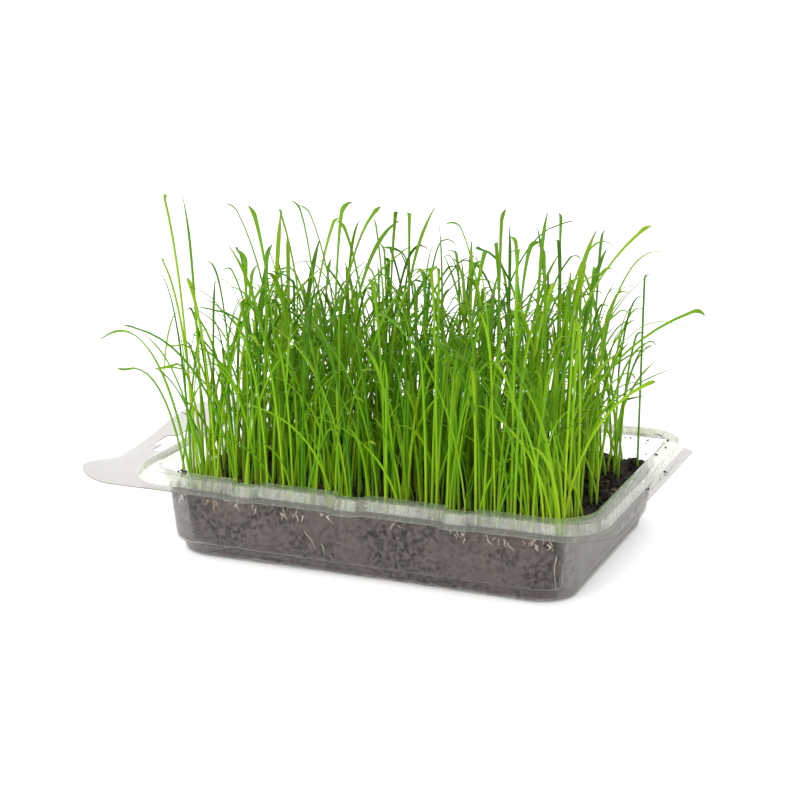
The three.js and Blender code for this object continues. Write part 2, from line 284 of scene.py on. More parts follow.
def useGroup(tree, group, **values):
    node = tree.nodes.new("ShaderNodeGroup")
    node.node_tree = group
    for key, value in values.items():
        feed(tree, node.inputs[key], value)
    return node


def startMaterial(name, **settings):
    material = bpy.data.materials.new(name)
    material.use_nodes = True
    tree = material.node_tree
    skin = tree.nodes["Principled BSDF"]
    for key, value in settings.items():
        feed(tree, skin.inputs[key.replace("_", " ")], value)
    return material, tree, skin


def bump(tree, skin, height, distance, strength=1.0):
    node = addNode(tree, "ShaderNodeBump", Strength=strength, Distance=distance, Height=height)
    tree.links.new(node.outputs[0], skin.inputs["Normal"])


def rampOf(tree, value, stops):
    # The first and the last stop lie at the ends, where the ramp has its own two
    node = addNode(tree, "ShaderNodeValToRGB", Fac=value)
    marks = node.color_ramp.elements
    ends = [marks[0], marks[1]]
    ends[0].color, ends[1].color = [(*colour, 1.0) for place, colour in (stops[0], stops[-1])]
    for place, colour in stops[1:-1]:
        marks.new(place).color = (*colour, 1.0)
    return node.outputs["Color"]


def mixShaders(tree, share, first, second):
    mix = tree.nodes.new("ShaderNodeMixShader")
    feed(tree, mix.inputs[0], share)
    tree.links.new(first.outputs[0], mix.inputs[1])
    tree.links.new(second.outputs[0], mix.inputs[2])
    tree.links.new(mix.outputs[0], tree.nodes["Material Output"].inputs["Surface"])


# Finishes

def paintFloor():
    return startMaterial(
        "paleFloor",
        Base_Color=(0.95, 0.95, 0.95),
        Roughness=0.9,
        Emission_Color=(1.0, 1.0, 1.0),
        Emission_Strength=0.3,
    )[0]


def paintFilm(name, colour, roughness, clear=1.0, bending=1.5, thin=0.0, streaks=None):
    material, tree, skin = startMaterial(
        name,
        Base_Color=colour,
        Roughness=roughness,
        IOR=bending,
        Transmission_Weight=clear,
    )
    # The film is drawn thin down its walls, in fine upright lines: the lines are rougher and raised, and
    # their paler colour is a painted reflection of the bright surroundings
    if streaks:
        place = tree.nodes.new("ShaderNodeTexCoord")
        stretch = addNode(tree, "ShaderNodeMapping", Scale=(1.0, 1.0, streaks["squeeze"]))
        tree.links.new(place.outputs["Object"], stretch.inputs["Vector"])
        lines = addNode(tree, "ShaderNodeTexNoise", Scale=streaks["scale"], Detail=2.0)
        tree.links.new(stretch.outputs[0], lines.inputs["Vector"])
        mask = mapRange(tree, lines.outputs[0], 0.4, 0.62)
        tree.links.new(mixColour(tree, mask, colour, streaks["colour"]), skin.inputs["Base Color"])
        low, high = streaks["roughness"]
        tree.links.new(mapRange(tree, lines.outputs[0], 0.35, 0.65, low, high), skin.inputs["Roughness"])
        bump(tree, skin, lines.outputs[0], streaks["depth"], 0.4)
    # Light passes through the film to what it holds, and part of the view goes through unbent
    path = tree.nodes.new("ShaderNodeLightPath")
    unbent = addNode(tree, "ShaderNodeBsdfTransparent", Color=(0.95, 0.95, 0.945))
    mixShaders(tree, mathOf(tree, "MAXIMUM", path.outputs["Is Shadow Ray"], thin), skin, unbent)
    return material


def startMottled(name, roughness, grain, relief, strength):
    material, tree, skin = startMaterial(name, Roughness=roughness)
    place = tree.nodes.new("ShaderNodeTexCoord")
    mottle = useGroup(tree, crumble, Vector=place.outputs["Object"], Scale=grain)
    bump(tree, skin, mottle.outputs["Height"], relief, strength)
    return material, tree, skin, place, mottle


def paintSoil(name, dark, pale, fleck, relief, grain):
    material, tree, skin, place, mottle = startMottled(name, 0.92, grain, relief, 0.9)
    # Patches of loose crumbs between stretches that are pressed smooth
    patches = addNode(tree, "ShaderNodeTexNoise", Scale=95.0, Detail=2.0)
    tree.links.new(place.outputs["Object"], patches.inputs["Vector"])
    loose = mapRange(tree, patches.outputs[0], 0.36, 0.62, 0.45, 1.0)
    crumbs = mathOf(tree, "MULTIPLY", mottle.outputs["Clods"], loose)
    ground = mixColour(tree, crumbs, pale, dark)
    flecked = mixColour(tree, mottle.outputs["Specks"], ground, fleck)
    tree.links.new(flecked, skin.inputs["Base Color"])
    return material


def paintSpeckled(name, roughness, grain, first, second, relief, strength):
    material, tree, skin, place, mottle = startMottled(name, roughness, grain, relief, strength)
    tree.links.new(mixColour(tree, mottle.outputs["Clods"], first, second), skin.inputs["Base Color"])
    return material


def bladeCoords(tree):
    uv = tree.nodes.new("ShaderNodeUVMap")
    uv.uv_map = "bladeMap"
    split = tree.nodes.new("ShaderNodeSeparateXYZ")
    tree.links.new(uv.outputs[0], split.inputs[0])
    tint = addNode(tree, "ShaderNodeAttribute", attribute_name="tint")
    tints = tree.nodes.new("ShaderNodeSeparateColor")
    tree.links.new(tint.outputs["Color"], tints.inputs[0])
    return split.outputs["X"], split.outputs["Y"], tints.outputs


def paintBlades():
    material, tree, skin = startMaterial("wheatgrassBlade", Roughness=0.4)
    skin.inputs["Specular IOR Level"].default_value = 0.22
    across, along, (tone, yellow, dry) = bladeCoords(tree)
    bright = rampOf(tree, along, [
        (0.0, (0.55, 0.62, 0.16)),
        (0.06, (0.4, 0.64, 0.015)),
        (0.28, (0.27, 0.57, 0.003)),
        (0.55, (0.19, 0.45, 0.003)),
        (1.0, (0.15, 0.34, 0.006)),
    ])
    deep = rampOf(tree, along, [
        (0.0, (0.3, 0.42, 0.05)),
        (0.08, (0.08, 0.32, 0.003)),
        (0.4, (0.025, 0.2, 0.002)),
        (1.0, (0.03, 0.13, 0.004)),
    ])
    green = mixColour(tree, tone, bright, deep)
    warmed = mixColour(tree, mathOf(tree, "MULTIPLY", yellow, 0.55), green, (0.46, 0.62, 0.008))
    veins = useGroup(tree, fibres, Across=across, Along=along, Lines=10.0)
    ribs = mapRange(tree, veins.outputs["Fibre"], 0.35, 0.7, 0.0, 0.45)
    ribbed = mixColour(tree, ribs, warmed, mixColour(tree, 0.5, warmed, (0.42, 0.72, 0.03)))
    tip = mapRange(tree, along, 0.9, 1.0)
    dried = mixColour(tree, mathOf(tree, "MULTIPLY", tip, dry), ribbed, (0.26, 0.25, 0.13))
    tree.links.new(dried, skin.inputs["Base Color"])
    tree.links.new(mapRange(tree, veins.outputs["Patch"], 0.3, 0.7, 0.34, 0.5), skin.inputs["Roughness"])
    bump(tree, skin, veins.outputs["Fibre"], 0.0002, 0.35)
    # Some light comes through a leaf
    through = tree.nodes.new("ShaderNodeBsdfTranslucent")
    tree.links.new(mixColour(tree, 0.4, dried, (0.38, 0.68, 0.004)), through.inputs["Color"])
    mixShaders(tree, 0.33, skin, through)
    return material


def paintRoots():
    material, tree, skin = startMaterial("paleRoot", Roughness=0.55)
    across, along, (tone, yellow, dry) = bladeCoords(tree)
    veins = useGroup(tree, fibres, Across=across, Along=along, Lines=6.0)
    pale = mixColour(tree, tone, (0.72, 0.68, 0.56), (0.42, 0.24, 0.12))
    colour = mixColour(tree, mapRange(tree, veins.outputs["Fibre"], 0.4, 0.7, 0.0, 0.4), pale,
                       (0.35, 0.29, 0.2))
    tree.links.new(colour, skin.inputs["Base Color"])
    bump(tree, skin, veins.outputs["Fibre"], 0.0001, 0.4)
    return material


floorFinish = paintFloor()
wallFinish = paintFilm("clearFilmWall", (0.84, 0.84, 0.83), 0.0, bending=1.4, thin=0.74)
rimFinish = paintFilm("clearFilmRim", (0.74, 0.76, 0.68), 0.05, clear=0.96, bending=1.35)
beadFinish = paintFilm("drawnFilmBead", (0.68, 0.71, 0.59), 0.2, clear=0.87, bending=1.35, streaks={
    "squeeze": 0.05,
    "scale": 900.0,
    # the streaks' pale colour is a painted reflection
    "colour": (0.93, 0.94, 0.88),
    "roughness": (0.04, 0.28),
    "depth": 0.00018,
})
flangeFinish = paintFilm("clearFilmFlange", (0.56, 0.54, 0.52), 0.03, clear=0.87, bending=1.25)
soilFinish = paintSoil(
    "soilAgainstFilm", (0.008, 0.006, 0.006), (0.122, 0.097, 0.089), (0.006, 0.005, 0.005),
    0.0004, 1150.0
)
openSoilFinish = paintSoil(
    "openSoil", (0.005, 0.004, 0.0035), (0.02, 0.015, 0.012), (0.05, 0.036, 0.026),
    0.0008, 620.0
)
crumbFinish = paintSpeckled(
    "looseCrumbs", 0.95, 700.0, (0.005, 0.004, 0.003), (0.035, 0.026, 0.02), 0.0005, 0.8
)
bladeFinish = paintBlades()
seedFinish = paintSpeckled(
    "sproutedGrain", 0.6, 900.0, (0.2, 0.11, 0.045), (0.07, 0.035, 0.018), 0.0002, 0.5
)
rootFinish = paintRoots()
print("finishes are mixed")


# Floor

deselectAll()
bpy.ops.mesh.primitive_plane_add(size=2 * studio["floorHalf"])
floor = bpy.context.object
floor.name = "studioFloor"
dress(floor, floorFinish)


# Tray: a rounded sheet drawn up ring by ring, as the real one is formed

tray = {
    "halfLength": 90.0,
    "halfWidth": 66.5,
    "sheet": 0.35,
    "cornerRadius": 13.5,
    "beadCorner": 16.0,
    "cornerSteps": 12,
    # inset from the bead's outer edge, how much further in the ends are, height of the upper face
    "rings": [
        (13.6, 0.6, 0.35), (12.3, 1.1, 0.6), (11.6, 1.4, 1.4), (11.4, 1.5, 2.5), (10.9, 1.5, 5.1),
        (10.6, 1.6, 5.75), (10.1, 1.9, 5.95), (8.9, 2.6, 5.98), (8.2, 2.9, 6.25), (7.9, 3.0, 7.1),
        (5.85, 3.0, 29.0), (5.65, 0.8, 32.6), (5.5, 0, 33.8), (4.95, 0, 34.38), (4.2, 0, 34.5),
        (1.4, 0, 34.5), (0.6, 0, 34.36), (0.12, 0, 33.8), (0.0, 0, 33.0), (-0.55, 0, 31.1),
        (-0.85, 0, 30.35), (-1.4, 0, 29.9),
    ],
    "lugCentres": (-41.0, 0.0, 41.0),
    "lugFlat": 7.0,
    "lugRamp": 3.0,
    "lugDepth": 2.2,
    "lugNotch": 1.6,
    "notchWidth": 4.0,
    "lugFrom": 5.85,
    "lugBottom": 29.0,
    "crossCuts": range(-45, 46, 6),
    "smoothBelow": 40.0,
    "longSide": 6.0,
}
flange = {
    "foot": 1.4,
    "reach": 4.7,
    "height": 29.8,
    "rings": 5,
    "left": 114.0,
    "radius": 20.0,
    "wave": 2.8,
    "wavePitch": 100.0,
    "waveStart": 3.0,
    "waveFrom": 92.0,
    "pulledFrom": 60.0,
    # how far off a flange's height, corner or end a point may lie and still belong to it
    "above": 0.2,
    "below": 0.05,
    "offCorner": 0.004,
    "offEnd": 0.05,
    "cutFrom": (94.7, 54.0),
    "cutTo": (83.8, 71.2),
}
slot = {
    "x": -100.0,
    "y": -9.0,
    "length": 32.0,
    "width": 5.0,
    "windowLength": 12.0,
    "windowWidth": 9.4,
    "windowRound": 1.8,
    "depth": 14.0,
}
# the film's parts: finish, height from and to, how far beyond the bead's outer edge, steepest normal
filmParts = [
    (3, 0, 33.0, 1.0, 1.1),
    (3, 0, 30.4, 0.6, 1.1),
    (2, 30.0, 35, -1.6, 0.6),
    (1, 32.0, 35, -7, 1.1),
]


def drawUp(name, rings, halfX, halfY, steps):
    inset, ends, z = rings[0]
    deselectAll()
    bpy.ops.mesh.primitive_plane_add(size=2)
    piece = bpy.context.object
    piece.name = name
    openMesh(piece)
    selectWhole()
    base = ((halfX - inset - ends) * mm, (halfY - inset) * mm, 1)
    bpy.ops.transform.resize(value=base, center_override=(0, 0, 0))
    bpy.ops.transform.translate(value=(0, 0, z * mm))
    bpy.ops.mesh.bevel(offset=tray["cornerRadius"] * mm, segments=steps, affect="VERTICES")
    selectWhole()
    for (inset, ends, z), (nextInset, nextEnds, nextZ) in zip(rings, rings[1:]):
        bpy.ops.mesh.extrude_edges_move(TRANSFORM_OT_translate={"value": (0, 0, (nextZ - z) * mm)})
        wider = (halfX - nextInset - nextEnds) / (halfX - inset - ends)
        deeper = (halfY - nextInset) / (halfY - inset)
        bpy.ops.transform.resize(value=(wider, deeper, 1), center_override=(0, 0, 0))
    return piece


def cutAcross(place, direction, clear=False):
    selectWhole()
    bpy.ops.mesh.bisect(plane_co=place, plane_no=direction, clear_outer=clear)


def lugShare(x):
    # 1 along a lug's straight stretch, down to 0 at the ends of its ramps
    away = min(abs(x - centre) for centre in tray["lugCentres"])
    half = tray["lugFlat"] / 2
    return 1 - ramp(away, half, half + tray["lugRamp"])


def pushLugs(piece):
    line = (tray["halfWidth"] - tray["lugFrom"]) * mm
    for vertex in piece.data.vertices:
        x, y, z = vertex.co
        if abs(y) > line and z > tray["lugBottom"] * mm:
            inner = abs(y) < (tray["halfWidth"] - tray["notchWidth"]) * mm
            depth = tray["lugDepth"] + (tray["lugNotch"] if inner else 0)
            vertex.co.y += math.copysign(depth * lugShare(x / mm) * mm, y)


def pullHangingFlange(piece):
    halfX, halfY = tray["halfLength"], tray["halfWidth"]
    inset, ends, z = tray["rings"][0]
    base = halfX - inset - ends, halfY - inset
    for vertex in piece.data.vertices:
        x, y = vertex.co.x / mm, vertex.co.y / mm
        if x > -flange["pulledFrom"] or vertex.co.z > (flange["height"] + flange["above"]) * mm:
            continue
        if vertex.co.z < (flange["height"] - flange["below"]) * mm:
            continue
        for step in range(1, flange["rings"] + 1):
            share = step / flange["rings"]
            out = flange["foot"] + (flange["reach"] - flange["foot"]) * share
            ringX, ringY = halfX + out, halfY + out
            radiusX = tray["cornerRadius"] * ringX / base[0]
            radiusY = tray["cornerRadius"] * ringY / base[1]
            centreX, centreY = ringX - radiusX, ringY - radiusY
            inCorner = x < -centreX + 0.01 and abs(y) > centreY - 0.01
            if inCorner:
                miss = abs(math.hypot((x + centreX) / radiusX, (abs(y) - centreY) / radiusY) - 1)
            else:
                miss = min(abs(-x - ringX), abs(abs(y) - ringY)) / radiusX
            if miss > flange["offCorner"]:
                continue
            left = ringX + (flange["left"] - halfX - flange["reach"]) * share
            radius = (radiusX + radiusY) / 2 * (1 - share) + flange["radius"] * share
            if inCorner:
                newX = -(left - radius) + (x + centreX) / radiusX * radius
                newY = (ringY - radius) + (abs(y) - centreY) / radiusY * radius
                vertex.co.x, vertex.co.y = newX * mm, math.copysign(newY * mm, y)
            elif abs(-x - ringX) < flange["offEnd"]:
                vertex.co.x = -left * mm
                vertex.co.y = y * (ringY - radius) / centreY * mm
            break


def waveAt(x, y):
    out = min(max((-flange["waveFrom"] - x) / (flange["left"] - flange["waveFrom"]), 0), 1)
    turn = 2 * math.pi * (y - flange["waveStart"]) / flange["wavePitch"]
    return flange["wave"] * math.sin(turn) * out * out


def cutHole(piece, centre, sizes, rounding):
    deselectAll()
    bpy.ops.mesh.primitive_cube_add(size=1)
    cutter = bpy.context.object
    openMesh(cutter, "EDGE")
    selectWhole()
    bpy.ops.transform.resize(value=[size * mm for size in sizes], center_override=(0, 0, 0))
    bpy.ops.transform.translate(value=[place * mm for place in centre])
    bpy.ops.mesh.select_all(action="DESELECT")
    shape = bmesh.from_edit_mesh(cutter.data)
    for edge in shape.edges:
        upright = abs(edge.verts[0].co.z - edge.verts[1].co.z) > sizes[2] * mm / 2
        edge.select_set(upright)
    bmesh.update_edit_mesh(cutter.data)
    bpy.ops.mesh.bevel(offset=rounding * mm, segments=8, affect="EDGES")
    closeMesh()
    pick(piece)
    cut = piece.modifiers.new("hole", "BOOLEAN")
    cut.operation = "DIFFERENCE"
    cut.object = cutter
    cut.solver = "EXACT"
    bpy.ops.object.modifier_apply(modifier=cut.name)
    drop(cutter)


def beyondBead(x, y):
    # How far a place lies outside the bead's rounded outer edge
    overX = abs(x) - tray["halfLength"] + tray["beadCorner"]
    overY = abs(y) - tray["halfWidth"] + tray["beadCorner"]
    return math.hypot(max(overX, 0), max(overY, 0)) + min(max(overX, overY), 0) - tray["beadCorner"]


def filmPartOf(face):
    # 0 wall, 1 bead's top, 2 bead's drawn outer side, 3 flange
    x, y, z = face.center.x / mm, face.center.y / mm, face.center.z / mm
    onLongSide = abs(y) > tray["halfWidth"] - tray["longSide"]
    beyond = beyondBead(x, y) - (tray["lugDepth"] * lugShare(x) if onLongSide else 0)
    for finish, low, high, out, tilt in filmParts:
        if low < z < high and beyond > out and abs(face.normal.z) < tilt:
            return finish
    return 0


def buildTray():
    out = [
        (-flange["foot"] - (flange["reach"] - flange["foot"]) * step / flange["rings"], 0, flange["height"])
        for step in range(1, flange["rings"] + 1)
    ]
    halfX, halfY = tray["halfLength"], tray["halfWidth"]
    sheet = drawUp("clearTray", tray["rings"] + out, halfX, halfY, tray["cornerSteps"])
    half, rampLength = tray["lugFlat"] / 2, tray["lugRamp"]
    for centre in tray["lugCentres"]:
        for side in (-1, 1):
            for share in (0.0, 0.25, 0.5, 0.75, 1.0):
                cutAcross(((centre + side * (half + rampLength * share)) * mm, 0, 0), (1, 0, 0))
    for y in tray["crossCuts"]:
        cutAcross((0, y * mm, 0), (0, 1, 0))
    closeMesh()
    pullHangingFlange(sheet)
    openMesh(sheet)
    (fromX, fromY), (toX, toY) = flange["cutFrom"], flange["cutTo"]
    cutAcross((fromX * mm, fromY * mm, 0), (toY - fromY, fromX - toX, 0), clear=True)
    closeMesh()
    pushLugs(sheet)
    for vertex in sheet.data.vertices:
        vertex.co.z += waveAt(vertex.co.x / mm, vertex.co.y / mm) * mm
    openMesh(sheet)
    selectWhole()
    bpy.ops.mesh.remove_doubles(threshold=0.02 * mm)
    faceOutwards()
    closeMesh()
    base = max(sheet.data.polygons, key=lambda face: face.area)
    if base.normal.z < 0:
        sheet.data.flip_normals()
    wall = sheet.modifiers.new("sheet", "SOLIDIFY")
    wall.thickness = tray["sheet"] * mm
    wall.offset = -1.0
    wall.use_even_offset = True
    applyAll(sheet)
    height, depth, width = flange["height"], slot["depth"], slot["width"]
    cutHole(sheet, (slot["x"], slot["y"], height), (width, slot["length"], depth), width * 0.49)
    reach = slot["windowWidth"] - width / 2
    window = (reach, slot["windowLength"], depth)
    cutHole(sheet, (slot["x"] - reach / 2, slot["y"], height), window, slot["windowRound"])
    pick(sheet)
    bpy.ops.object.shade_smooth_by_angle(angle=math.radians(tray["smoothBelow"]))
    dress(sheet, wallFinish, rimFinish, beadFinish, flangeFinish)
    for face in sheet.data.polygons:
        face.material_index = filmPartOf(face)
    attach(sheet, "root")
    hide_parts("tray")
    return sheet


trayPiece = buildTray()
print("tray:", len(trayPiece.data.polygons), "faces")


# Soil: the tray's inside filled, with a crumbled surface

soil = {
    "gap": 0.12,
    "top": 24.6,
    "swell": 0.9,
    "ripple": 0.5,
    "dip": 4.5,
    "dipStart": (30.0, 10.0),
    "dipSpan": (50.0, 40.0),
    "baseGap": 0.1,
    "climb": 1.4,
    "rings": [(13.5, 0.6, 0.35), (12.3, 1.1, 0.62), (11.6, 1.4, 1.5), (11.35, 1.5, 2.6), (10.9, 1.5, 5.2),
              (10.4, 1.8, 5.9), (8.4, 2.8, 6.2), (7.9, 3.0, 7.1), (6.26, 3.0, 24.6)],
    "voxel": 0.95,
    "cornerSteps": 8,
    "firmBelow": 8.0,
    "fullRise": 0.5,
    "climbReach": (0.8, 4.5),
    # how deep the loose soil goes, and how far from the wall it starts
    "looseDepth": (1.2, 0.3),
    "looseFrom": (0.8, 3.0),
    "pressed": 0.12,
    # size and strength of its bumps, and the level that stays in place
    "clods": (4.5, 1.3),
    "grit": (1.6, 0.7),
    "level": 0.8,
    "open": {"above": 15.0, "tilt": 0.5, "room": 2.2},
}


def soilTop(x, y):
    startX, startY = soil["dipStart"]
    spanX, spanY = soil["dipSpan"]
    swell = soil["swell"] * math.sin(0.11 * x + 0.4) * math.cos(0.13 * y)
    ripple = soil["ripple"] * math.sin(0.31 * x - 0.27 * y)
    dip = soil["dip"] * ramp(x, startX, startX + spanX) * ramp(y, startY, startY + spanY)
    return soil["top"] + swell + ripple - dip


def roomToWall(x, y):
    inset, ends, z = soil["rings"][-1]
    return min(tray["halfLength"] - inset - ends - abs(x), tray["halfWidth"] - inset - abs(y))


def roughen(piece, name):
    size, strength = soil[name]
    texture = bpy.data.textures.new(name, "CLOUDS")
    texture.noise_scale = size * mm
    texture.noise_depth = 2
    rough = piece.modifiers.new(name, "DISPLACE")
    rough.texture = texture
    rough.texture_coords = "LOCAL"
    rough.strength = strength * mm
    rough.mid_level = soil["level"]
    rough.vertex_group = "open"


def markOpenSoil(fill):
    # The top is loose and the rest is pressed against the film
    group = fill.vertex_groups.new(name="open")
    deep, shallow = soil["looseDepth"]
    for vertex in fill.data.vertices:
        x, y, z = [v / mm for v in vertex.co]
        share = ramp(z, soilTop(x, y) - deep, soilTop(x, y) - shallow)
        share *= ramp(roomToWall(x, y), *soil["looseFrom"])
        group.add([vertex.index], soil["pressed"] + (1 - soil["pressed"]) * share, "REPLACE")


def buildSoil():
    gap = soil["gap"]
    halfX, halfY = tray["halfLength"] - gap, tray["halfWidth"] - gap
    rings = [(inset, ends, z + soil["baseGap"] * (z < soil["top"])) for inset, ends, z in soil["rings"]]
    fill = drawUp("pottingSoil", rings, halfX, halfY, soil["cornerSteps"])
    bpy.ops.mesh.edge_face_add()
    faceOutwards()
    closeMesh()
    remesh = fill.modifiers.new("even", "REMESH")
    remesh.mode = "VOXEL"
    remesh.voxel_size = soil["voxel"] * mm
    applyAll(fill)
    for vertex in fill.data.vertices:
        x, y, z = [v / mm for v in vertex.co]
        share = ramp(z, soil["firmBelow"], soil["top"] - soil["fullRise"])
        climb = soil["climb"] * (1 - ramp(roomToWall(x, y), *soil["climbReach"]))
        vertex.co.z += (soilTop(x, y) - soil["top"] + climb) * share * mm
    markOpenSoil(fill)
    roughen(fill, "clods")
    roughen(fill, "grit")
    applyAll(fill)
    pick(fill)
    bpy.ops.object.shade_smooth()
    dress(fill, soilFinish, openSoilFinish)
    limit = soil["open"]
    for face in fill.data.polygons:
        x, y, z = [v / mm for v in face.center]
        isOpen = z > limit["above"] and face.normal.z > limit["tilt"] and roomToWall(x, y) > limit["room"]
        face.material_index = int(isOpen)
    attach(fill, "root")
    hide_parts("soil")
    return fill


soilPiece = buildSoil()
print("soil:", len(soilPiece.data.polygons), "faces")


# Grass: where each shoot stands and leans

clump = {
    "columns": 8,
    "rows": 6,
    "reachX": 67.5,
    "reachY": 48.0,
    "rise": 0.2,
}
growth = {
    "start": 20427,
    "perClump": (8, 7),
    "perSparseClump": 4,
    "sparseFrom": (58.0, -12.0),
    "tries": 90,
    "rootReach": 7.1,
    "low": 42.0,
    "range": 38.0,
    "tallShare": 0.72,
    "tallExtra": 20.0,
    "spread": 8.0,
    "spreadRange": 28.0,
    "outward": 0.08,
    "endLeft": -90.0,
    "endRight": 92.0,
    "swell": 0.1,
    "swellPitch": 75.0,
    "swellAt": -35.0,
    "archShare": 0.34,
    "archMost": 0.34,
    "twistMost": 0.8,
    "tallTwist": 1.0,
}
bends = {"outLow": 0.08, "upLow": 0.42, "outHigh": 0.36, "upHigh": 0.82}
room = {
    "cell": 1.1,
    "aside": 2,
    "above": 1,
    "origin": 250.0,
    "perSpan": 20,
    "rimX": 79.5,
    "rimY": 59.0,
    "rimZ": 36.0,
    "joints": (0, 0.45, 0.7, 0.9, 1),
}
# root, tip, arch of the leaves that stand out
tallLeaves = [
    ((-73, -44), (-97, -20, 131), 0.0),
    ((-69, -44), (-84, -28, 131), 0.0),
    ((-69, -49), (-88, -39, 109), 0.08),
    ((-68, -55), (-82, -50, 106), 0.08),
    ((-72, -48), (-114, -40, 76), 0.55),
    ((-71, -53), (-103, -45, 65), 0.5),
    ((-41, -30), (-66, -22, 128), 0.0),
    ((-57, -16), (-52, -10, 124), 0.0),
    ((-24, -12), (-42, -8, 126), 0.0),
    ((-34, -4), (-31, 0, 126), 0.03),
    ((-31, -18), (-14, -6, 127), 0.08),
    ((-13, 4), (-22, 10, 119), 0.03),
    ((-24, -24), (-4, -10, 124), 0.1),
    ((12, -4), (8, 0, 122), 0.0),
    ((36, -12), (17, -4, 124), 0.0),
    ((34, -2), (31, 4, 126), 0.1),
    ((39, -14), (44, 0, 117), 0.1),
    ((56, 0), (58, 4, 107), 0.0),
    ((57, 6), (62, 10, 109), 0.03),
    ((62, -4), (71, 4, 116), 0.05),
    ((52, -14), (88, 0, 127), 0.0),
    ((71, 2), (74, 10, 100), 0.0),
    ((60, -22), (112, -10, 101), 0.03),
    ((72, -42), (98, -30, 77), 0.04),
    ((78, 1), (89, 8, 83), 0.2),
    ((73, 24), (77, 30, 81), 0.0),
    ((56, -30), (58, -20, 101), 0.12),
]


class Draws:

    def __init__(self, start):
        self.value = start

    def next(self):
        self.value = (self.value * 1664525 + 1013904223) % 4294967296
        return self.value / 4294967296

    def between(self, low, high):
        return low + (high - low) * self.next()


def clumpPlaces():
    places = []
    pitchX = (2 * clump["reachX"]) / (clump["columns"] - 1)
    pitchY = (2 * clump["reachY"]) / (clump["rows"] - 1)
    for row in range(clump["rows"]):
        shifted = row % 2
        for column in range(clump["columns"] - shifted):
            x = -clump["reachX"] + (column + shifted / 2) * pitchX
            y = -clump["reachY"] + row * pitchY
            places.append({"x": x, "y": y, "z": soilTop(x, y) + clump["rise"], "blades": []})
    return places


def lineOf(root, tip, arch):
    x, y, z = root
    reachX, reachY, height = tip[0] - x, tip[1] - y, tip[2] - z
    return [
        root,
        (x + bends["outLow"] * reachX, y + bends["outLow"] * reachY, z + bends["upLow"] * height),
        (x + bends["outHigh"] * reachX, y + bends["outHigh"] * reachY, z + (bends["upHigh"] + arch) * height),
        tip,
    ]


def pointOn(line, t):
    u = 1 - t
    weights = (u * u * u, 3 * u * u * t, 3 * u * t * t, t * t * t)
    return [sum(weight * point[axis] for weight, point in zip(weights, line)) for axis in range(3)]


taken = set()


def cellOf(point):
    return tuple(math.floor((value + room["origin"]) / room["cell"]) for value in point)


def samplesOf(line):
    corners = [pointOn(line, t) for t in room["joints"]]
    samples = []
    for before, after in zip(corners, corners[1:]):
        for step in range(room["perSpan"] + 1):
            share = step / room["perSpan"]
            samples.append([a * (1 - share) + b * share for a, b in zip(before, after)])
    return samples


def hitsRim(point):
    x, y, z = point
    return z < room["rimZ"] and (abs(x) > room["rimX"] or abs(y) > room["rimY"])


def isClear(samples):
    return not any(hitsRim(point) or cellOf(point) in taken for point in samples)


def take(samples):
    aside, above = room["aside"], room["above"]
    for x, y, z in {cellOf(point) for point in samples}:
        for i in range(-aside, aside + 1):
            for j in range(-aside, aside + 1):
                for k in range(-above, above + 1):
                    taken.add((x + i, y + j, z + k))


def plant(place, line, twist):
    samples = samplesOf(line)
    if not isClear(samples):
        return False
    take(samples)
    place["blades"].append((line, twist))
    return True


def plantTallLeaf(places, root, tip, arch):
    def away(place):
        return math.hypot(root[0] - place["x"], root[1] - place["y"])

    nearest = min(places, key=away)
    share = min(1, growth["rootReach"] / max(away(nearest), 1))
    x = nearest["x"] + (root[0] - nearest["x"]) * share
    y = nearest["y"] + (root[1] - nearest["y"]) * share
    plant(nearest, lineOf((x, y, nearest["z"]), tip, arch), growth["tallTwist"])


def plantShoot(place, draws):
    x = place["x"] + (draws.next() * 2 - 1) * growth["rootReach"]
    y = place["y"] + (draws.next() * 2 - 1) * growth["rootReach"]
    tall = draws.next()
    spread = growth["spread"] + growth["spreadRange"] * draws.next()
    lean = (draws.next() * 2 - 1) * spread + growth["outward"] * x
    leanX = lean if growth["endLeft"] < x + lean < growth["endRight"] else -lean / 2
    leanY = (draws.next() * 2 - 1) * spread + growth["outward"] * y
    extra = draws.next() * growth["tallExtra"]
    height = growth["low"] + growth["range"] * tall + (extra if tall > growth["tallShare"] else 0)
    height *= 1 + growth["swell"] * math.cos(2 * math.pi * (x - growth["swellAt"]) / growth["swellPitch"])
    arches = draws.next() < growth["archShare"]
    arch = draws.next() * growth["archMost"]
    twist = (draws.next() * 2 - 1) * growth["twistMost"]
    if math.hypot(x - place["x"], y - place["y"]) > growth["rootReach"]:
        return False
    tip = (x + leanX, y + leanY, place["z"] + height)
    return plant(place, lineOf((x, y, place["z"]), tip, arch if arches else 0), twist)


def plantAll(places):
    draws = Draws(growth["start"])
    for root, tip, arch in tallLeaves:
        plantTallLeaf(places, root, tip, arch)
    for index, place in enumerate(places):
        sparse = place["x"] > growth["sparseFrom"][0] and place["y"] > growth["sparseFrom"][1]
        wanted = growth["perSparseClump"] if sparse else growth["perClump"][index % 2]
        for _ in range(wanted):
            for _ in range(growth["tries"]):
                if plantShoot(place, draws):
                    break


places = clumpPlaces()
plantAll(places)
print("shoots placed:", sum(len(place["blades"]) for place in places))


# Grass: one tube drawn up in rings, then laid along each shoot's line

